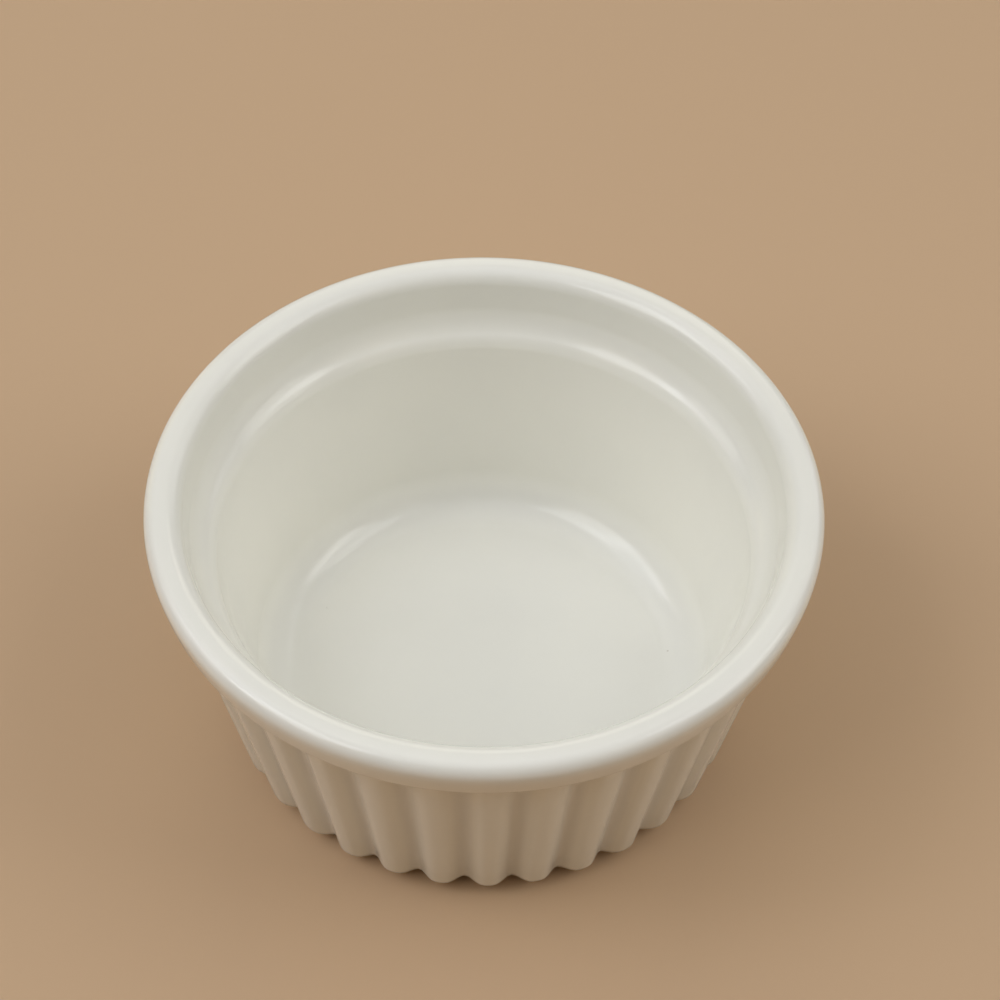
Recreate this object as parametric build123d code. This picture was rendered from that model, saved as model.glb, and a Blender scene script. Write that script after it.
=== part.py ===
from build123d import *

import os
from math import asin, cos, hypot, pi, radians, sin

# A fluted porcelain ramekin: a fired clay body, the glaze coat fused over it and the glaze under its base.
# Millimetres, +Z up, origin on the table at the middle of the foot ring.
# Every outside size is taken over the glaze, and the clay lies one glaze thickness further in.

# Whole dish
rim_diameter = 90.0
overall_height = 43.5
glaze_thickness = 0.25

# Rim and the plain collar below it
rim_wall = 4.7
rim_outer_round = 1.8
rim_inner_round = 2.3
rim_band = 2.4
collar_depth = 5.2
collar_taper = 0.5
collar_bend_round = 3.0
collar_edge_round = 0.8
collar_undercut = 0.9

# Mouth inside the collar, down to the shoulder
mouth_taper = 1.2
ledge_depth = 9.9
ledge_drop = 2.3
ledge_round = 3.3
cove_round = 5.5

# Fluted wall, measured at the crests of the flutes
shoulder_wall = 3.4
wall_thickness = 5.5
wall_lean = 5.89
flute_count = 34
flute_depth = 1.45
flute_run_out = 2.6

# Floor, and the rounded heel under the wall
floor_thickness = 4.3
floor_round = 6.8
heel_round = 4.8
heel_turn_degrees = 60.0

# Bare foot ring and the recess inside it
foot_height = 0.8
foot_width = 3.0
foot_setback = 0.5
foot_edge_round = 0.35

# Shares of the sizes above, for the cross-sections that the fluted wall is drawn through
run_out_shares = (0.0, 0.4, 1.0)
run_out_flute_shares = (0.0, 0.55, 1.0)
straight_wall_shares = (0.35, 0.7)
heel_turn_shares = (0.0, 0.34, 0.68, 1.0)
heel_flute_shares = (1.0, 1.0, 0.92, 0.72)

# Share of the pitch, and of the flutes' depth, that the arc in a groove takes; the crest takes the rest
groove_share = 0.24

# How far a cutting shape runs past what it cuts
overrun = 1.0

# Places that follow from the sizes
rim_radius = rim_diameter / 2
mouth_radius = rim_radius - rim_wall
mouth_low_radius = mouth_radius - mouth_taper
collar_foot_radius = rim_radius - collar_taper
collar_foot_height = overall_height - collar_depth
wall_top_radius = mouth_low_radius + shoulder_wall
wall_top_height = collar_foot_height - collar_undercut
undercut_slope = collar_undercut / (collar_foot_radius - wall_top_radius)
heel_radius = wall_top_radius - wall_lean
heel_drop = heel_round * sin(radians(heel_turn_degrees))
heel_height = foot_height + heel_drop
heel_end_radius = heel_radius - heel_round * (1 - cos(radians(heel_turn_degrees)))
wall_slope = wall_lean / (wall_top_height - heel_height)
foot_radius = heel_end_radius - flute_depth - foot_setback
floor_height = foot_height + floor_thickness
ledge_height = overall_height - ledge_depth


def crest_radius(height):
    """Radius over the flutes' crests on the straight wall."""
    return heel_radius + wall_slope * (height - heel_height)


def inner_radius(height):
    """Radius of the smooth wall inside, which runs parallel to the crests."""
    return crest_radius(height) - wall_thickness


def level_shift(slope, inset):
    """How far a sloping side drops at a corner that moves out by the inset, to lie one inset further in."""
    return inset * (hypot(1, slope) - slope)


def turned(corners):
    """Turn a closed half outline about the dish's axis. A corner is a radius, a height and a rounding."""
    points = [(radius, height) for radius, height, rounding in corners]
    roundings = [rounding for radius, height, rounding in corners]
    outline = FilletPolyline(*points, radius=roundings, close=True)
    return revolve(Plane.XZ * make_face(outline), Axis.Z)


def rim_block(inset):
    """The rim and collar as a solid block, whose sloping underside runs on into the wall."""
    core_height = wall_top_height - undercut_slope * shoulder_wall
    core_shift = inset * hypot(1, undercut_slope)
    return turned(
        (
            (0, overall_height - inset, 0),
            (rim_radius - inset, overall_height - inset, rim_outer_round - inset),
            (rim_radius - inset, overall_height - rim_band, collar_bend_round),
            (
                collar_foot_radius - inset,
                collar_foot_height + level_shift(undercut_slope, inset),
                collar_edge_round - inset,
            ),
            (mouth_low_radius, core_height + core_shift, 0),
            (0, core_height + core_shift, 0),
        )
    )


def hollow(inset):
    """The space inside the dish: floor, tapering wall, shoulder, mouth and the rim's inner rounding."""
    ledge_radius = inner_radius(ledge_height)
    ledge_slope = ledge_drop / (mouth_low_radius - ledge_radius)
    ledge_shift = level_shift(ledge_slope, inset)
    past_rim = rim_radius + overrun
    past_top = overall_height + overrun
    return turned(
        (
            (0, floor_height - inset, 0),
            (inner_radius(floor_height) + inset, floor_height - inset, floor_round + inset),
            (ledge_radius + inset, ledge_height - ledge_shift, ledge_round - inset),
            (mouth_low_radius + inset, ledge_height + ledge_drop - ledge_shift, cove_round + inset),
            (mouth_radius + inset, overall_height - inset, rim_inner_round - inset),
            (past_rim, overall_height - inset, 0),
            (past_rim, past_top, 0),
            (0, past_top, 0),
        )
    )


def flute_section(height, crest, depth):
    """One wavy cross-section: round grooves and broader round crests, turn about, tangent where they meet."""
    groove = crest - depth
    bank = groove + depth * groove_share
    pitch = 2 * pi / flute_count
    half_groove = pitch * groove_share / 2

    def spot(radius, angle):
        return (radius * cos(angle), radius * sin(angle), height)

    edges = []
    for index in range(flute_count):
        groove_angle = index * pitch - pi / 2
        crest_angle = groove_angle + pitch / 2
        rise = spot(bank, groove_angle + half_groove)
        fall = spot(bank, groove_angle + pitch - half_groove)
        edges.append(ThreePointArc(spot(bank, groove_angle - half_groove), spot(groove, groove_angle), rise))
        edges.append(ThreePointArc(rise, spot(crest, crest_angle), fall))
    return make_face(Wire(edges))


def heel_sections(inset):
    """Cross-sections round the heel, from the underside up to the straight wall."""
    arc_round = heel_round - inset
    arc_centre = heel_radius - heel_round
    turn = asin((heel_drop - inset) / arc_round)
    sections = []
    for turn_share, flute_share in zip(reversed(heel_turn_shares), reversed(heel_flute_shares)):
        angle = turn * turn_share
        crest = arc_centre + arc_round * cos(angle)
        sections.append(flute_section(heel_height - arc_round * sin(angle), crest, flute_depth * flute_share))
    return sections


def wall_sections(inset):
    """Cross-sections up the straight wall, through where the flutes run out and on into the collar."""
    run_out_foot = wall_top_height - flute_run_out
    sections = []
    for share in straight_wall_shares:
        height = heel_height + share * (run_out_foot - heel_height)
        sections.append(flute_section(height, crest_radius(height) - inset, flute_depth))
    for share, flute_share in zip(reversed(run_out_shares), reversed(run_out_flute_shares)):
        height = wall_top_height - share * flute_run_out
        sections.append(flute_section(height, crest_radius(height) - inset, flute_depth * flute_share))
    sections.append(flute_section(collar_foot_height, crest_radius(collar_foot_height) - inset, 0))
    return sections


def fluted_block(inset):
    """The fluted wall and heel as a solid block, up into the collar."""
    return loft(heel_sections(inset) + wall_sections(inset))


def dish(inset):
    """The dish without its foot ring."""
    return fluted_block(inset) + rim_block(inset) - hollow(inset)


def foot_ring():
    """The bare ring that the dish stands on, let into the floor above it."""
    foot_inner_radius = foot_radius - foot_width
    ring_top = foot_height + floor_thickness / 2
    standing = (Align.CENTER, Align.CENTER, Align.MIN)
    ring = Cylinder(foot_radius, ring_top, align=standing) - Cylinder(foot_inner_radius, ring_top, align=standing)
    return fillet(ring.edges().group_by(Axis.Z)[0], foot_edge_round)


porcelain_body = dish(glaze_thickness) + foot_ring()
glaze = (dish(0) - porcelain_body).solids().sort_by(SortBy.VOLUME)
base_glaze = glaze[0]
glaze_coat = glaze[-1]

os.makedirs("parts", exist_ok=True)
export_step(porcelain_body, "parts/porcelain_body.step")
export_step(glaze_coat, "parts/glaze_coat.step")
export_step(base_glaze, "parts/base_glaze.step")

print(f"glaze solids {len(glaze)}, clay {porcelain_body.volume:.0f} mm3")
print(f"foot ring {2 * foot_radius:.2f} mm across, crest at heel {2 * heel_radius:.2f} mm across")
print(f"ledge {2 * inner_radius(ledge_height):.2f} mm across, floor {2 * inner_radius(floor_height):.2f} mm")
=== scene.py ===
import logging
import math
from collections.abc import Callable
from dataclasses import dataclass, field
from enum import Enum

import bmesh
import bpy
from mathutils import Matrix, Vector


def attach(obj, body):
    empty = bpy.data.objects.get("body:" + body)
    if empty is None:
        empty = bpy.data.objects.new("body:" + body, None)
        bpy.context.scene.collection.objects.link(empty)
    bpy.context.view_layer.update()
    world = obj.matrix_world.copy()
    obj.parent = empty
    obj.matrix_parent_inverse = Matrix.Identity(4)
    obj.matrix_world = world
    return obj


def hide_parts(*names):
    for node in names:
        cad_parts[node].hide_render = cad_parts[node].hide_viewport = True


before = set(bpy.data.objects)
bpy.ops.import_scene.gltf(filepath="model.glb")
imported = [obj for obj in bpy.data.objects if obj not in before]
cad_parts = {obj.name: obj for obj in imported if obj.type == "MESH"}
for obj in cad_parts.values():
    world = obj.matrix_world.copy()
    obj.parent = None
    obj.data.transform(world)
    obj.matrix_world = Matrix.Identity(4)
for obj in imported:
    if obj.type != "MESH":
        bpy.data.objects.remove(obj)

log = logging.getLogger("ramekin")

MM = 0.001
FLUTES = 34
FIRST_GROOVE = -math.pi / 2
BODY = "root"

# Angle between faces above which an edge stays crisp, in degrees
CREASE = 38.0

# How near to each other two places lie that count as one, in metres, and two shares of a groove
SAME_PLACE = MM / 1000
SAME_SEAM = MM / 500
SAME_RING = MM / 5000
SAME_SHARE = 0.0002

# Digits that places and shares are rounded to, where vertices are sorted by them
PLACE_DIGITS = 7
SHARE_DIGITS = 4

# Sockets of the mix node that a colour goes through
MIX_SHARE, MIX_FIRST, MIX_SECOND = 0, 6, 7
MIX_RESULT = 2

# Radius of a spot's full middle, as a share of the whole spot's
SPOT_CORE = 0.4

WHITE = (1.0, 1.0, 1.0, 1.0)


class Slot(Enum):
    """The record's material slots."""

    GLAZE = "white_glaze"
    CLAY = "fired_clay"


class Pooling(Enum):
    """Where a coat of glaze gathers while it melts; in grooves and corners its darker colour is
    also painted shade.
    """

    # Darker colour in the grooves and the floor's corner: thick glaze, and also painted shade
    GROOVES_AND_CORNERS = "grooves and corners"
    BASE_EDGE = "base edge"


@dataclass(frozen=True)
class Corner:
    """A corner of a half outline, in millimetres.

    Attributes:
        radius: Distance from the dish's axis.
        height: Height above the table.
        reach: How far the rounding runs along the sides from the corner.
        steps: Number of edges in the rounding.
    """

    radius: float
    height: float
    reach: float = 0.0
    steps: int = 0


class MeshHand:
    """Shapes one mesh in edit mode, with vertices picked by their place."""

    def __init__(self, name: str) -> None:
        """Remember the name that the piece will have."""
        self.name = name
        self.piece: bpy.types.Object | None = None

    def pick(self, wanted: Callable[[Vector], bool]) -> int:
        """Select the vertices whose place passes a test, and nothing else.

        Args:
            wanted: The test, given a place in metres.

        Returns:
            The number of vertices selected.
        """
        mesh = bmesh.from_edit_mesh(self.piece.data)
        count = 0
        for vertex in mesh.verts:
            chosen = wanted(vertex.co)
            vertex.select_set(chosen)
            count += chosen
        mesh.select_flush_mode()
        bmesh.update_edit_mesh(self.piece.data, loop_triangles=False, destructive=False)
        return count

    def places(self) -> list[Vector]:
        """Return the places of all vertices, in metres."""
        return [vertex.co.copy() for vertex in bmesh.from_edit_mesh(self.piece.data).verts]

    def draw_outline(self, corners: tuple[Corner, ...]) -> None:
        """Draw a half outline from vertex to vertex and round its corners.

        Args:
            corners: The corners in order, in millimetres.
        """
        bpy.ops.object.select_all(action="DESELECT")
        start = (corners[0].radius * MM, 0, corners[0].height * MM)
        bpy.ops.mesh.primitive_plane_add(size=MM, location=start)
        self.piece = bpy.context.active_object
        self.piece.name = self.name
        self.piece.data.name = self.name
        bpy.ops.object.transform_apply(location=True, rotation=True, scale=True)
        bpy.ops.object.mode_set(mode="EDIT")
        bpy.ops.mesh.select_mode(type="VERT")
        bpy.ops.mesh.select_all(action="SELECT")
        bpy.ops.mesh.merge(type="CENTER")
        for last, corner in zip(corners, corners[1:]):
            step = ((corner.radius - last.radius) * MM, 0, (corner.height - last.height) * MM)
            bpy.ops.mesh.extrude_vertices_move(TRANSFORM_OT_translate={"value": step})
        for corner in corners:
            if corner.steps:
                self.round_corner(corner)

    def round_corner(self, corner: Corner) -> None:
        """Bevel the vertex at a corner.

        Args:
            corner: The corner, with the reach and steps of its rounding.
        """
        place = Vector((corner.radius * MM, 0, corner.height * MM))
        self.pick(lambda at: (at - place).length < SAME_PLACE)
        bpy.ops.mesh.bevel(
            offset_type="OFFSET",
            offset=corner.reach * MM,
            segments=corner.steps,
            profile=0.5,
            affect="VERTICES",
            clamp_overlap=False,
        )

    def spin(self, steps: int, angle: float) -> None:
        """Turn the whole outline about the dish's axis into a surface.

        Args:
            steps: Number of faces along the turn.
            angle: The turn, in radians.
        """
        bpy.ops.mesh.select_all(action="SELECT")
        bpy.ops.mesh.spin(steps=steps, dupli=False, angle=angle, center=(0, 0, 0), axis=(0, 0, 1))

    def repeat_round(self, count: int) -> None:
        """Copy the sector in hand until it closes the ring.

        Args:
            count: Number of sectors in the ring.
        """
        bpy.ops.mesh.select_all(action="SELECT")
        turn = 2 * math.pi * (count - 1) / count
        bpy.ops.mesh.spin(steps=count - 1, dupli=True, angle=turn, center=(0, 0, 0), axis=(0, 0, 1))

    def close(self) -> None:
        """Merge the seams and poles, turn the faces outward and leave edit mode."""
        bpy.ops.mesh.select_all(action="SELECT")
        bpy.ops.mesh.remove_doubles(threshold=SAME_SEAM)
        bpy.ops.mesh.normals_make_consistent(inside=False)
        bpy.ops.mesh.select_all(action="DESELECT")
        bpy.ops.object.mode_set(mode="OBJECT")

    def apply(self, kind: str, **settings: object) -> None:
        """Add a modifier and apply it.

        Args:
            kind: The modifier's type.
            **settings: Its settings by name.
        """
        modifier = self.piece.modifiers.new(kind.lower(), kind)
        for setting, value in settings.items():
            setattr(modifier, setting, value)
        bpy.ops.object.modifier_apply(modifier=modifier.name)

    def smooth(self) -> None:
        """Shade smooth, with the sharp edges left crisp."""
        bpy.ops.object.select_all(action="DESELECT")
        self.piece.select_set(True)
        bpy.context.view_layer.objects.active = self.piece
        bpy.ops.object.shade_smooth_by_angle(angle=math.radians(CREASE))


@dataclass(frozen=True)
class Fluting:
    """The grooves pressed into the outside wall, in millimetres.

    Attributes:
        depth: Depth of a groove below the crests beside it.
        narrowing: Power on the groove's wave; above 1 the grooves are narrower than the crests.
        shares: Height and share of the full depth, from the heel up to where the flutes run out.
        guard: Height and radius outside which a vertex lies on the fluted side.
    """

    depth: float = 1.6
    narrowing: float = 1.6
    shares: tuple[tuple[float, float], ...] = (
        (0.79, 0.72),
        (1.82, 0.92),
        (3.29, 1.0),
        (34.8, 1.0),
        (35.6, 0.86),
        (36.36, 0.55),
        (36.9, 0.22),
        (37.35, 0.0),
    )
    guard: tuple[tuple[float, float], ...] = ((0.0, 33.0), (1.4, 33.6), (6.5, 35.0), (37.35, 41.0))

    @staticmethod
    def between(table: tuple[tuple[float, float], ...], height: float) -> float:
        """Read a table of heights and values between its rows.

        Args:
            table: Rows of height and value, from the lowest up.
            height: The height to read at.

        Returns:
            The value there.
        """
        for (low, first), (high, second) in zip(table, table[1:]):
            if low <= height <= high:
                return first + (second - first) * (height - low) / (high - low)
        return table[0][1] if height < table[0][0] else table[-1][1]

    def groove(self, turn: float) -> float:
        """Return the share of the depth at an angle, 1 in a groove and 0 on a crest.

        Args:
            turn: Angle from the X axis in radians.

        Returns:
            The share.
        """
        return ((1 + math.cos((turn - FIRST_GROOVE) * FLUTES)) / 2) ** self.narrowing

    def press(self, hand: MeshHand) -> None:
        """Draw the vertices of one flute's sector in, ring by ring and column by column.

        Args:
            hand: The sector in edit mode.
        """
        top = self.shares[-1][0] * MM
        spots: dict[tuple[float, float, float], None] = {}
        for at in hand.places():
            radius, height = math.hypot(at.x, at.y), at.z
            if height > top or radius < self.between(self.guard, height / MM) * MM:
                continue
            place = (round(radius, PLACE_DIGITS), round(height, PLACE_DIGITS))
            share = round(self.groove(math.atan2(at.y, at.x)), SHARE_DIGITS)
            spots[(*place, share)] = None
        for radius, height, groove in spots:
            cut = self.depth * MM * self.between(self.shares, height / MM) * groove
            if cut < SAME_PLACE:
                continue
            hand.pick(
                lambda at: abs(at.z - height) < SAME_RING
                and abs(math.hypot(at.x, at.y) - radius) < SAME_RING
                and abs(self.groove(math.atan2(at.y, at.x)) - groove) < SAME_SHARE
            )
            size = (radius - cut) / radius
            bpy.ops.transform.resize(value=(size, size, 1), center_override=(0, 0, 0))


def fluted_ring(
    name: str, outline: tuple[Corner, ...], columns: int, fluting: Fluting
) -> MeshHand:
    """Model one flute's sector and repeat it until it closes the ring.

    Args:
        name: The name that the piece will have.
        outline: The sector's half outline.
        columns: Faces across one flute.
        fluting: The grooves in the outside wall.

    Returns:
        The hand that holds the ring.
    """
    hand = MeshHand(name)
    hand.draw_outline(outline)
    hand.spin(columns, 2 * math.pi / FLUTES)
    fluting.press(hand)
    hand.repeat_round(FLUTES)
    hand.close()
    return hand


@dataclass(frozen=True)
class Noise:
    """A noise pattern.

    Attributes:
        scale: Features to the metre.
        detail: Number of finer layers in it.
    """

    scale: float
    detail: float


@dataclass(frozen=True)
class Spots:
    """Round spots strewn thinly over a surface.

    Attributes:
        scale: Cells to the metre.
        size: A spot's radius as a share of its cell.
        kept: Share of the cells that have a spot.
    """

    scale: float
    size: float
    kept: float


class NodeBench:
    """Lays out the nodes of one material."""

    def __init__(self, name: str) -> None:
        """Start a material whose node tree is empty."""
        self.material = bpy.data.materials.new(name)
        self.material.use_nodes = True
        self.tree = self.material.node_tree
        self.tree.nodes.clear()

    def add(self, kind: str, **settings: object) -> bpy.types.Node:
        """Add a node.

        Args:
            kind: The node's type, without its prefix.
            **settings: Its properties by name.

        Returns:
            The node.
        """
        node = self.tree.nodes.new("ShaderNode" + kind)
        for setting, value in settings.items():
            setattr(node, setting, value)
        return node

    def feed(self, socket: bpy.types.NodeSocket, source: object) -> None:
        """Link a socket to its source, or set it where the source is a plain value.

        Args:
            socket: The socket that takes the value.
            source: An output socket, a number or a colour.
        """
        if isinstance(source, bpy.types.NodeSocket):
            self.tree.links.new(source, socket)
        else:
            socket.default_value = source

    def work_out(self, operation: str, *values: object) -> bpy.types.NodeSocket:
        """Add a math node.

        Args:
            operation: The operation's name.
            *values: Its inputs, each an output socket or a number.

        Returns:
            The result's socket.
        """
        node = self.add("Math", operation=operation)
        for socket, value in zip(node.inputs, values):
            self.feed(socket, value)
        return node.outputs[0]

    def fade(
        self,
        value: bpy.types.NodeSocket,
        span: tuple[float, float],
        low: float = 0.0,
        high: float = 1.0,
    ) -> bpy.types.NodeSocket:
        """Map a span of values smoothly on to another.

        Args:
            value: What is mapped.
            span: The values that give low and high.
            low: Result at the span's first value.
            high: Result at its second.

        Returns:
            The result's socket.
        """
        node = self.add("MapRange", interpolation_type="SMOOTHSTEP")
        for socket, number in zip(node.inputs, (value, *span, low, high)):
            self.feed(socket, number)
        return node.outputs[0]

    def length(
        self, first: bpy.types.NodeSocket, second: bpy.types.NodeSocket
    ) -> bpy.types.NodeSocket:
        """Work out how long the diagonal over two distances is.

        Args:
            first: One distance.
            second: The other, at a right angle to it.

        Returns:
            The length's socket.
        """
        squares = [self.work_out("MULTIPLY", side, side) for side in (first, second)]
        return self.work_out("SQRT", self.work_out("ADD", *squares))

    def mix(self, share: object, first: object, second: object) -> bpy.types.NodeSocket:
        """Mix two colours.

        Args:
            share: Share of the second colour.
            first: First colour.
            second: Second colour.

        Returns:
            The mixed colour's socket.
        """
        node = self.add("Mix", data_type="RGBA")
        self.feed(node.inputs[MIX_SHARE], share)
        self.feed(node.inputs[MIX_FIRST], first)
        self.feed(node.inputs[MIX_SECOND], second)
        return node.outputs[MIX_RESULT]

    def noise(self, where: bpy.types.NodeSocket, pattern: Noise) -> bpy.types.NodeSocket:
        """Add a noise pattern.

        Args:
            where: Coordinates that it reads.
            pattern: The pattern.

        Returns:
            The pattern's value.
        """
        node = self.add("TexNoise")
        self.feed(node.inputs["Vector"], where)
        node.inputs["Scale"].default_value = pattern.scale
        node.inputs["Detail"].default_value = pattern.detail
        return node.outputs[0]

    def spots(self, where: bpy.types.NodeSocket, pattern: Spots) -> bpy.types.NodeSocket:
        """Add round spots strewn thinly over the surface.

        Args:
            where: Coordinates that they read.
            pattern: The spots.

        Returns:
            1 in the middle of a spot, falling to 0 at its edge.
        """
        cells = self.add("TexVoronoi", voronoi_dimensions="3D")
        self.feed(cells.inputs["Vector"], where)
        cells.inputs["Scale"].default_value = pattern.scale
        inside = self.fade(cells.outputs["Distance"], (pattern.size, pattern.size * SPOT_CORE))
        draw = self.add("SeparateColor")
        self.feed(draw.inputs[0], cells.outputs["Color"])
        chosen = self.work_out("LESS_THAN", draw.outputs[0], pattern.kept)
        return self.work_out("MULTIPLY", inside, chosen)

    def bump(
        self,
        height: bpy.types.NodeSocket,
        depth: float,
        under: bpy.types.NodeSocket | None = None,
    ) -> bpy.types.NodeSocket:
        """Add relief.

        Args:
            height: The relief's pattern.
            depth: Its depth in metres.
            under: The normal that it is laid over, if any.

        Returns:
            The new normal.
        """
        node = self.add("Bump")
        node.inputs["Strength"].default_value = 1.0
        node.inputs["Distance"].default_value = depth
        self.feed(node.inputs["Height"], height)
        if under is not None:
            self.feed(node.inputs["Normal"], under)
        return node.outputs[0]

    def finish(self, shader: bpy.types.Node) -> bpy.types.Material:
        """Join the shader to the output.

        Args:
            shader: The shader node.

        Returns:
            The finished material.
        """
        output = self.add("OutputMaterial")
        self.feed(output.inputs["Surface"], shader.outputs[0])
        return self.material


@dataclass(frozen=True)
class GlazeFinish:
    """Warm off-white glass fused over the clay.

    Attributes:
        name: The material's name.
        pooling: Where the glaze gathers.
        colour: Colour where the coat is even.
        cloud_colour: Colour of the faint clouds in it.
        pooled_and_shaded_colour: Darker colour where it lies thick; in the grooves and the floor's
            corner it is also painted shade.
        speck_colour: Colour of the few iron specks under it.
        roughness: Lowest and highest roughness of the surface.
        wave_depth: Depth of the slow waves left by dipping, in metres.
        peel_depth: Depth of the fine orange-peel texture, in metres.
        pit_depth: Depth of the rare pinholes, in metres.
        base_edge: Radii between which the pool under the base thickens, in metres.
        base_share: Share of the thick glaze's colour at that edge.
        groove_wave: Values of the flutes' cosine between which the glaze thickens and the painted
            shade deepens.
        wall_run: Gain of the wall's outer radius to the height, and the radius at the table.
        wall_span: Distances from the wall's outer radius between which the outside begins.
        run_out: Heights between which the flutes run out, in metres.
        groove_pool_and_shade: Share of the darker colour in a groove, for thick glaze and painted
            shade.
        corner_place: Radius and height of the floor's corner, in metres.
        corner_span: Distances from that corner between which the glaze thickens and the painted
            shade deepens, in metres.
        corner_pool_and_shade: Share of the darker colour in the corner, for thick glaze and painted
            shade.
        clouds: The clouds' pattern.
        cloud_span: Values of the pattern between which the clouds begin.
        specks: The iron specks.
        speck_share: How strongly a speck shows.
        sheen: The pattern of duller and glossier places.
        sheen_span: Values of the pattern between which the roughness rises.
        waves: The dipping waves.
        peel: The orange peel.
        pits: The pinholes.
        bending: Index of refraction.
    """

    name: str
    pooling: Pooling
    colour: tuple[float, float, float, float] = (0.86, 0.85, 0.777, 1.0)
    cloud_colour: tuple[float, float, float, float] = (0.845, 0.836, 0.767, 1.0)
    # Darker, greyer colour for thick glaze; in the grooves and the floor's corner it is also
    # painted shade
    pooled_and_shaded_colour: tuple[float, float, float, float] = (0.77, 0.765, 0.715, 1.0)
    speck_colour: tuple[float, float, float, float] = (0.34, 0.27, 0.19, 1.0)
    roughness: tuple[float, float] = (0.11, 0.17)
    wave_depth: float = 0.00010
    peel_depth: float = 0.000012
    pit_depth: float = 0.00005
    base_edge: tuple[float, float] = (0.0266, 0.0291)
    base_share: float = 0.9
    groove_wave: tuple[float, float] = (0.15, 1.0)
    wall_run: tuple[float, float] = (0.1815, 0.0357)
    wall_span: tuple[float, float] = (-0.0035, -0.0022)
    run_out: tuple[float, float] = (0.0372, 0.0350)
    # Strength of the darker colour in the grooves: thick glaze and painted shade
    groove_pool_and_shade: float = 0.9
    corner_place: tuple[float, float] = (0.0297, 0.0064)
    corner_span: tuple[float, float] = (0.0035, 0.0004)
    # Strength of the darker colour in the floor's corner: thick glaze and painted shade
    corner_pool_and_shade: float = 0.4
    clouds: Noise = Noise(55.0, 3.0)
    cloud_span: tuple[float, float] = (0.35, 0.68)
    specks: Spots = Spots(150.0, 0.032, 0.03)
    speck_share: float = 0.35
    sheen: Noise = Noise(120.0, 2.0)
    sheen_span: tuple[float, float] = (0.3, 0.7)
    waves: Noise = Noise(42.0, 1.0)
    peel: Noise = Noise(330.0, 1.5)
    pits: Spots = Spots(210.0, 0.05, 0.05)
    bending: float = 1.5

    def pooled_and_shaded(self, bench: NodeBench, where: bpy.types.NodeSocket) -> bpy.types.NodeSocket:
        """Find where the glaze lies thick, and where its darker colour also paints shade into the
        grooves and the floor's corner.

        Args:
            bench: The material's nodes.
            where: Object coordinates.

        Returns:
            Share of the darker colour for thick glaze and painted shade, from 0 to 1.
        """
        split = bench.add("SeparateXYZ")
        bench.feed(split.inputs[0], where)
        across, along, height = split.outputs
        radius = bench.length(across, along)
        if self.pooling is Pooling.BASE_EDGE:
            return bench.fade(radius, self.base_edge, high=self.base_share)
        turn = bench.work_out("ARCTAN2", along, across)
        beat = bench.work_out("MULTIPLY_ADD", turn, float(FLUTES), -FIRST_GROOVE * FLUTES)
        groove = bench.fade(bench.work_out("COSINE", beat), self.groove_wave)
        wall = bench.work_out("MULTIPLY_ADD", height, *self.wall_run)
        outside = bench.fade(bench.work_out("SUBTRACT", radius, wall), self.wall_span)
        below = bench.fade(height, self.run_out)
        # Painted shade down the grooves, besides the thicker glaze there
        grooves = bench.work_out("MULTIPLY", bench.work_out("MULTIPLY", groove, outside), below)
        # Painted shade in the floor's corner, besides the thicker glaze there
        corner_radius, corner_height = self.corner_place
        away = bench.work_out("SUBTRACT", radius, corner_radius)
        above = bench.work_out("SUBTRACT", height, corner_height)
        corner = bench.fade(bench.length(away, above), self.corner_span, high=self.corner_pool_and_shade)
        return bench.work_out(
            "MAXIMUM", bench.work_out("MULTIPLY", grooves, self.groove_pool_and_shade), corner
        )

    def material(self) -> bpy.types.Material:
        """Make the material."""
        bench = NodeBench(self.name)
        where = bench.add("TexCoord").outputs["Object"]
        clouds = bench.fade(bench.noise(where, self.clouds), self.cloud_span)
        tint = bench.mix(clouds, self.colour, self.cloud_colour)
        # Darken where the glaze pools, which in the grooves and the floor's corner is also painted
        # shade
        tint = bench.mix(self.pooled_and_shaded(bench, where), tint, self.pooled_and_shaded_colour)
        specks = bench.work_out("MULTIPLY", bench.spots(where, self.specks), self.speck_share)
        tint = bench.mix(specks, tint, self.speck_colour)
        sheen = bench.fade(bench.noise(where, self.sheen), self.sheen_span, *self.roughness)
        waves = bench.bump(bench.noise(where, self.waves), self.wave_depth)
        peel = bench.bump(bench.noise(where, self.peel), self.peel_depth, waves)
        pits = bench.work_out("SUBTRACT", 1.0, bench.spots(where, self.pits))
        relief = bench.bump(pits, self.pit_depth, peel)
        shader = bench.add("BsdfPrincipled")
        bench.feed(shader.inputs["Base Color"], tint)
        bench.feed(shader.inputs["Roughness"], sheen)
        bench.feed(shader.inputs["Normal"], relief)
        shader.inputs["IOR"].default_value = self.bending
        return bench.finish(shader)


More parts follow.
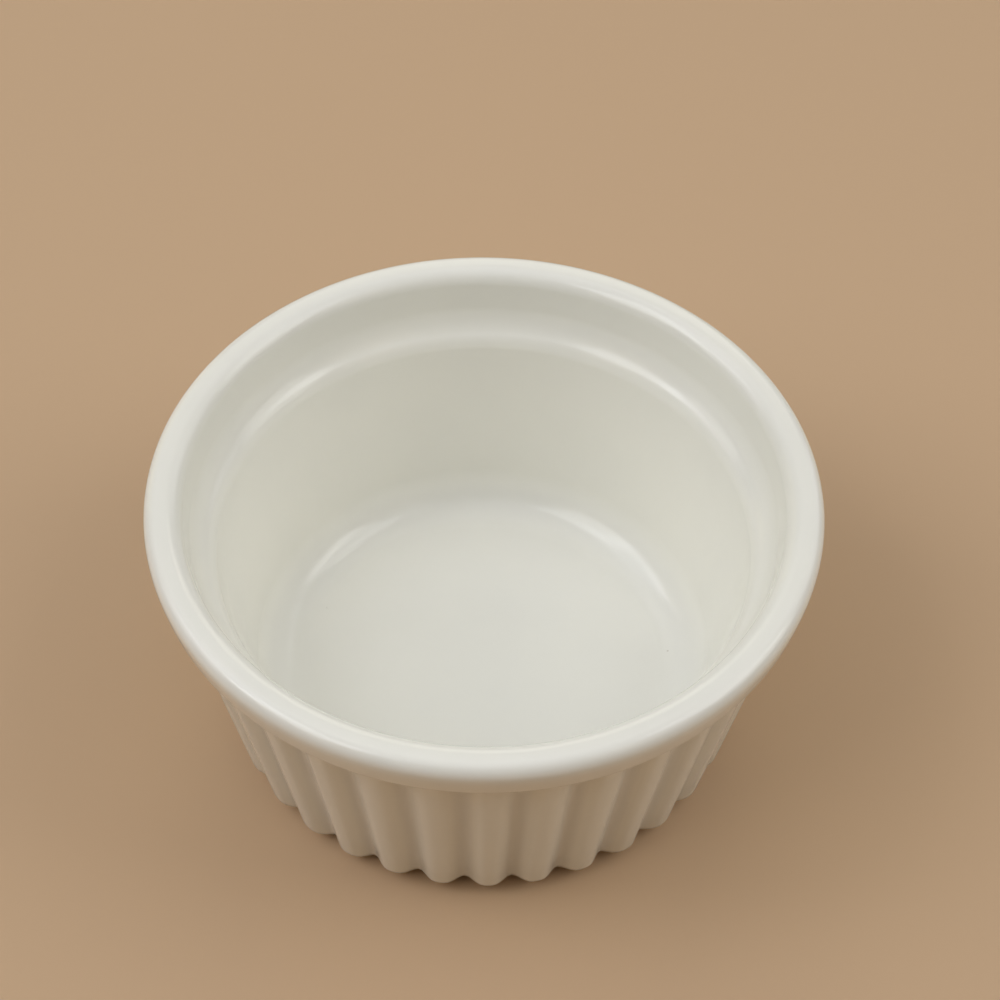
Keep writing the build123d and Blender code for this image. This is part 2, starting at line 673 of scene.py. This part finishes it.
@dataclass(frozen=True)
class ClayFinish:
    """Bare fired porcelain, matt, with a grain and the scuffs of use on the foot.

    Attributes:
        name: The material's name.
        colour: Colour of the clay.
        dark_colour: Colour of its darker grains.
        scuff_colour: Colour that tables and oven shelves leave on the foot.
        roughness: Lowest and highest roughness of the surface.
        grain_depth: Depth of the grain, in metres.
        grain: The grain's pattern.
        dark_span: Values of the grain between which it darkens.
        rough_span: Values of the grain between which the roughness rises.
        dents: The pattern of the coarser relief under the grain.
        scuffs: The scuffs' pattern.
        scuff_span: Values of the pattern between which the scuffs begin.
        scuff_share: How strongly the scuffs show.
        scuff_heights: Heights between which the scuffs begin, in metres.
    """

    name: str
    colour: tuple[float, float, float, float] = (0.70, 0.65, 0.57, 1.0)
    dark_colour: tuple[float, float, float, float] = (0.58, 0.53, 0.45, 1.0)
    scuff_colour: tuple[float, float, float, float] = (0.36, 0.33, 0.30, 1.0)
    roughness: tuple[float, float] = (0.68, 0.86)
    grain_depth: float = 0.00003
    grain: Noise = Noise(2600.0, 3.0)
    dark_span: tuple[float, float] = (0.42, 0.7)
    rough_span: tuple[float, float] = (0.3, 0.7)
    dents: Noise = Noise(500.0, 2.0)
    scuffs: Noise = Noise(420.0, 4.0)
    scuff_span: tuple[float, float] = (0.5, 0.66)
    scuff_share: float = 0.7
    scuff_heights: tuple[float, float] = (0.0004, 0.0)

    def material(self) -> bpy.types.Material:
        """Make the material."""
        bench = NodeBench(self.name)
        where = bench.add("TexCoord").outputs["Object"]
        grain = bench.noise(where, self.grain)
        tint = bench.mix(bench.fade(grain, self.dark_span), self.colour, self.dark_colour)
        split = bench.add("SeparateXYZ")
        bench.feed(split.inputs[0], where)
        low = bench.fade(split.outputs["Z"], self.scuff_heights)
        rubbed = bench.fade(
            bench.noise(where, self.scuffs), self.scuff_span, high=self.scuff_share
        )
        tint = bench.mix(bench.work_out("MULTIPLY", low, rubbed), tint, self.scuff_colour)
        dents = bench.bump(bench.noise(where, self.dents), self.grain_depth)
        relief = bench.bump(grain, self.grain_depth, dents)
        shader = bench.add("BsdfPrincipled")
        bench.feed(shader.inputs["Base Color"], tint)
        bench.feed(
            shader.inputs["Roughness"], bench.fade(grain, self.rough_span, *self.roughness)
        )
        bench.feed(shader.inputs["Normal"], relief)
        return bench.finish(shader)


@dataclass(frozen=True)
class FloorFinish:
    """A plain pale studio floor.

    Attributes:
        name: The material's name.
        colour: Its colour.
        roughness: Its roughness.
        shine: Strength of its reflections.
    """

    name: str
    colour: tuple[float, float, float, float] = (0.56, 0.39, 0.245, 1.0)
    roughness: float = 0.9
    shine: float = 0.2

    def material(self) -> bpy.types.Material:
        """Make the material."""
        bench = NodeBench(self.name)
        shader = bench.add("BsdfPrincipled")
        shader.inputs["Base Color"].default_value = self.colour
        shader.inputs["Roughness"].default_value = self.roughness
        shader.inputs["Specular IOR Level"].default_value = self.shine
        return bench.finish(shader)


def place_on_body(
    piece: bpy.types.Object, node: str, material: bpy.types.Material
) -> None:
    """Dress a finished piece and let it stand for its CAD node.

    Args:
        piece: The piece, at the origin, unturned and unscaled.
        node: The CAD node that it replaces.
        material: Its material.
    """
    piece.data.materials.clear()
    piece.data.materials.append(material)
    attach(piece, BODY)
    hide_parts(node)
    log.info("%s: %d faces, for the node %s", piece.name, len(piece.data.polygons), node)


@dataclass
class GlazeCoat:
    """The coat of glaze over the outside, the rim and the inside, as a thin closed shell.

    Attributes:
        thickness: Thickness of the coat, in millimetres.
        columns: Faces across one flute.
        fluting: The grooves in the outside wall.
        finish: The glaze's finish.
        outline: The coat's outer face from the foot ring round to the middle of the floor.
    """

    thickness: float = 0.25
    columns: int = 12
    fluting: Fluting = field(default_factory=Fluting)
    # Grooves and the floor's corner get a darker colour: thick glaze and painted shade
    finish: GlazeFinish = GlazeFinish("warm_white_glaze", Pooling.GROOVES_AND_CORNERS)
    outline: tuple[Corner, ...] = (
        Corner(32.26, 0.46),
        Corner(32.38, 0.79, 0.22, 4),
        Corner(32.65, 0.80),
        Corner(34.21, 0.80, 0.25, 3),
        Corner(36.047, 1.861, 1.85, 9),
        Corner(37.35, 9.0),
        Corner(38.80, 17.0),
        Corner(40.26, 25.0),
        Corner(41.34, 31.0),
        Corner(42.03, 34.8),
        Corner(42.17, 35.6),
        Corner(42.31, 36.36),
        Corner(42.41, 36.9),
        Corner(42.50, 37.4, 0.35, 3),
        Corner(44.48, 38.3, 0.42, 5),
        Corner(44.98, 41.1, 0.4, 3),
        Corner(44.98, 43.49, 1.8, 10),
        Corner(40.30, 43.49, 2.0, 12),
        Corner(39.10, 35.90, 2.08, 10),
        Corner(36.32, 33.60, 1.2, 8),
        Corner(31.14, 5.10, 5.68, 16),
        Corner(19.0, 5.10),
        Corner(9.0, 5.10),
        Corner(2.5, 5.10),
        Corner(0.0, 5.10),
    )

    def build(self) -> bpy.types.Object:
        """Model the coat's face, give it its thickness and dress it.

        Returns:
            The finished piece.
        """
        hand = fluted_ring("glaze_skin", self.outline, self.columns, self.fluting)
        hand.apply("SOLIDIFY", thickness=self.thickness * MM, offset=-1.0, use_even_offset=True)
        hand.smooth()
        place_on_body(hand.piece, "glaze_coat", self.finish.material())
        return hand.piece


@dataclass
class ClayBody:
    """The fired clay under the glaze, with the bare foot ring that the dish stands on.

    Attributes:
        columns: Faces across one flute.
        fluting: The grooves in the outside wall.
        finish: The clay's finish.
        outline: The half outline from the middle of the base round to the middle of the floor.
    """

    columns: int = 8
    fluting: Fluting = field(default_factory=Fluting)
    finish: ClayFinish = ClayFinish("bare_fired_clay")
    outline: tuple[Corner, ...] = (
        Corner(0.0, 1.05),
        Corner(10.0, 1.05),
        Corner(20.0, 1.05),
        Corner(29.26, 1.05),
        Corner(29.26, 0.0, 0.35, 4),
        Corner(32.26, 0.0, 0.35, 4),
        Corner(32.26, 1.05),
        Corner(34.14, 1.05, 0.2, 3),
        Corner(35.822, 2.019, 1.7, 6),
        Corner(37.10, 9.0),
        Corner(38.55, 17.0),
        Corner(40.01, 25.0),
        Corner(41.09, 31.0),
        Corner(41.78, 34.8),
        Corner(41.92, 35.6),
        Corner(42.06, 36.36),
        Corner(42.16, 36.9),
        Corner(42.25, 37.55),
        Corner(44.22, 38.50, 0.3, 3),
        Corner(44.73, 41.1, 0.4, 2),
        Corner(44.73, 43.24, 1.55, 5),
        Corner(40.51, 43.24, 1.78, 6),
        Corner(39.332, 35.768, 2.17, 7),
        Corner(36.55, 33.466, 1.1, 5),
        Corner(31.35, 4.85, 5.9, 9),
        Corner(16.0, 4.85),
        Corner(0.0, 4.85),
    )

    def build(self) -> bpy.types.Object:
        """Model the clay and dress it.

        Returns:
            The finished piece.
        """
        hand = fluted_ring("clay_body", self.outline, self.columns, self.fluting)
        hand.smooth()
        place_on_body(hand.piece, "porcelain_body", self.finish.material())
        return hand.piece


@dataclass
class BaseGlaze:
    """The pool of glaze in the recess under the base, creeping down the inside of the foot ring.

    Attributes:
        steps: Faces round the dish.
        finish: The glaze's finish.
        outline: The half outline from the middle of its upper face round to that of its lower.
    """

    steps: int = 204
    finish: GlazeFinish = GlazeFinish("base_pool_glaze", Pooling.BASE_EDGE)
    outline: tuple[Corner, ...] = (
        Corner(0.0, 1.05),
        Corner(14.0, 1.05),
        Corner(29.26, 1.05),
        Corner(29.26, 0.42),
        Corner(29.10, 0.79, 0.26, 5),
        Corner(28.2, 0.80),
        Corner(18.0, 0.81),
        Corner(8.0, 0.81),
        Corner(0.0, 0.81),
    )

    def build(self) -> bpy.types.Object:
        """Turn the pool and dress it.

        Returns:
            The finished piece.
        """
        hand = MeshHand("base_glaze_pool")
        hand.draw_outline(self.outline)
        hand.spin(self.steps, 2 * math.pi)
        hand.close()
        hand.smooth()
        place_on_body(hand.piece, "base_glaze", self.finish.material())
        return hand.piece


@dataclass(frozen=True)
class SoftBox:
    """A square soft light aimed at the dish.

    Attributes:
        name: The light's name.
        azimuth: Direction from the dish in degrees, 0 to the right and 90 away from the camera.
        elevation: Angle above the floor, in degrees.
        power: Its power in watts.
        colour: Its colour.
        size: Its side, in metres.
        distance: Distance from the dish, in metres.
    """

    name: str
    azimuth: float
    elevation: float
    power: float
    colour: tuple[float, float, float] = (1.0, 1.0, 1.0)
    size: float = 0.58
    distance: float = 1.1

    def hang(self, target: Vector) -> None:
        """Hang the light and aim it.

        Args:
            target: The place that it is aimed at.
        """
        lamp = bpy.data.lights.new(self.name, "AREA")
        lamp.shape = "SQUARE"
        lamp.size = self.size
        lamp.energy = self.power
        lamp.color = self.colour
        light = bpy.data.objects.new(self.name, lamp)
        bpy.context.scene.collection.objects.link(light)
        turn, rise = math.radians(self.azimuth), math.radians(self.elevation)
        level = math.cos(rise)
        outward = Vector((math.cos(turn) * level, math.sin(turn) * level, math.sin(rise)))
        light.location = target + outward * self.distance
        light.rotation_euler = (-outward).to_track_quat("-Z", "Y").to_euler()
        light.visible_camera = False
        log.info("%s: %.1f W", self.name, self.power)


@dataclass
class Studio:
    """Plain pale floor, soft boxes and a dim surround that looks pale behind the dish.

    Attributes:
        floor_size: Side of the floor, in metres.
        floor_finish: The floor's finish.
        backdrop: Colour that is seen past the floor.
        surround: Strength of the dim light from all round.
        aim: The place that the lights are aimed at, in metres.
        lights: The soft boxes.
    """

    floor_size: float = 12.0
    floor_finish: FloorFinish = FloorFinish("pale_floor")
    backdrop: tuple[float, float, float, float] = (0.60, 0.56, 0.50, 1.0)
    surround: float = 0.02
    aim: tuple[float, float, float] = (0.0, 0.0, 0.03)
    lights: tuple[SoftBox, ...] = (
        SoftBox("overhead_panel", 0, 90, 2.94, (0.98, 0.99, 1.06), 1.4),
        SoftBox("left_panel", 180, 65, 2.27, (0.97, 0.99, 1.07), 1.4),
        SoftBox("left_front_box", 210, 50, 2.21, (0.98, 0.99, 0.98)),
        SoftBox("left_box", 180, 50, 1.34, (0.96, 0.99, 1.1)),
        SoftBox("right_box", 0, 50, 1.91, (0.98, 0.99, 1.0)),
        SoftBox("right_front_box", 330, 50, 0.41, (0.98, 0.98, 0.9)),
        SoftBox("left_low_box", 180, 30, 1.44, (1.0, 0.98, 0.95)),
        SoftBox("right_low_box", 0, 30, 1.75, (1.0, 0.98, 0.92)),
        SoftBox("right_back_box", 40, 30, 0.93, (1.0, 0.99, 1.0)),
        SoftBox("back_low_box", 90, 30, 1.39, (1.0, 0.96, 0.77)),
        SoftBox("front_left_fill", 220, 30, 0.41, (1.0, 0.75, 0.4)),
        SoftBox("front_right_fill", 320, 30, 0.52, (1.0, 0.78, 0.55)),
        SoftBox("back_left_fill", 135, 12, 0.77, (1.0, 0.87, 0.5)),
    )

    def lay_floor(self) -> None:
        """Lay the floor, which is not part of the dish."""
        bpy.ops.object.select_all(action="DESELECT")
        bpy.ops.mesh.primitive_plane_add(size=self.floor_size, location=(0, 0, 0))
        floor = bpy.context.active_object
        floor.name = "studio_floor"
        floor.data.materials.append(self.floor_finish.material())

    def set_surround(self) -> None:
        """Light the dish dimly from all round, and show the camera a pale backdrop."""
        world = bpy.data.worlds.new("studio_surround")
        world.use_nodes = True
        tree = world.node_tree
        dim = tree.nodes["Background"]
        dim.inputs[0].default_value = WHITE
        dim.inputs[1].default_value = self.surround
        seen = tree.nodes.new("ShaderNodeBackground")
        seen.inputs[0].default_value = self.backdrop
        rays = tree.nodes.new("ShaderNodeLightPath")
        choose = tree.nodes.new("ShaderNodeMixShader")
        tree.links.new(rays.outputs["Is Camera Ray"], choose.inputs[0])
        tree.links.new(dim.outputs[0], choose.inputs[1])
        tree.links.new(seen.outputs[0], choose.inputs[2])
        tree.links.new(choose.outputs[0], tree.nodes["World Output"].inputs[0])
        bpy.context.scene.world = world

    def build(self) -> None:
        """Lay the floor, hang the lights and set the surround."""
        self.lay_floor()
        for light in self.lights:
            light.hang(Vector(self.aim))
        self.set_surround()
        bpy.context.scene.view_settings.view_transform = "Standard"
        log.info("studio: floor %.0f m, %d soft boxes", self.floor_size, len(self.lights))


@dataclass(frozen=True)
class PhotoCamera:
    """The camera at the photograph's viewing angle.

    Attributes:
        place: Where it stands, in metres.
        turn: Its turn about X, Y and Z, in degrees.
        lens: Focal length, in millimetres.
        sensor: Width of the sensor, in millimetres.
        nearest: Nearest distance that it sees, in metres.
    """

    place: tuple[float, float, float] = (0.0121765, -0.1974869, 0.2740355)
    turn: tuple[float, float, float] = (40.3394, -0.7081, 3.7678)
    lens: float = 82.8
    sensor: float = 36.0
    nearest: float = 0.01

    def build(self) -> None:
        """Set the camera up."""
        data = bpy.data.cameras.new("photo_camera")
        data.sensor_width = self.sensor
        data.lens = self.lens
        data.clip_start = self.nearest
        camera = bpy.data.objects.new("photo_camera", data)
        bpy.context.scene.collection.objects.link(camera)
        camera.location = self.place
        camera.rotation_euler = [math.radians(angle) for angle in self.turn]
        bpy.context.scene.camera = camera
        log.info("camera: %.1f mm lens", self.lens)


def main() -> None:
    """Build the dish piece by piece, then the studio and the camera."""
    logging.basicConfig(level=logging.INFO, format="%(name)s: %(message)s")
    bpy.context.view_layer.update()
    pieces = [part.build() for part in (GlazeCoat(), ClayBody(), BaseGlaze())]
    log.info("dish: %d pieces", len(pieces))
    Studio().build()
    PhotoCamera().build()


if __name__ == "__main__":
    main()
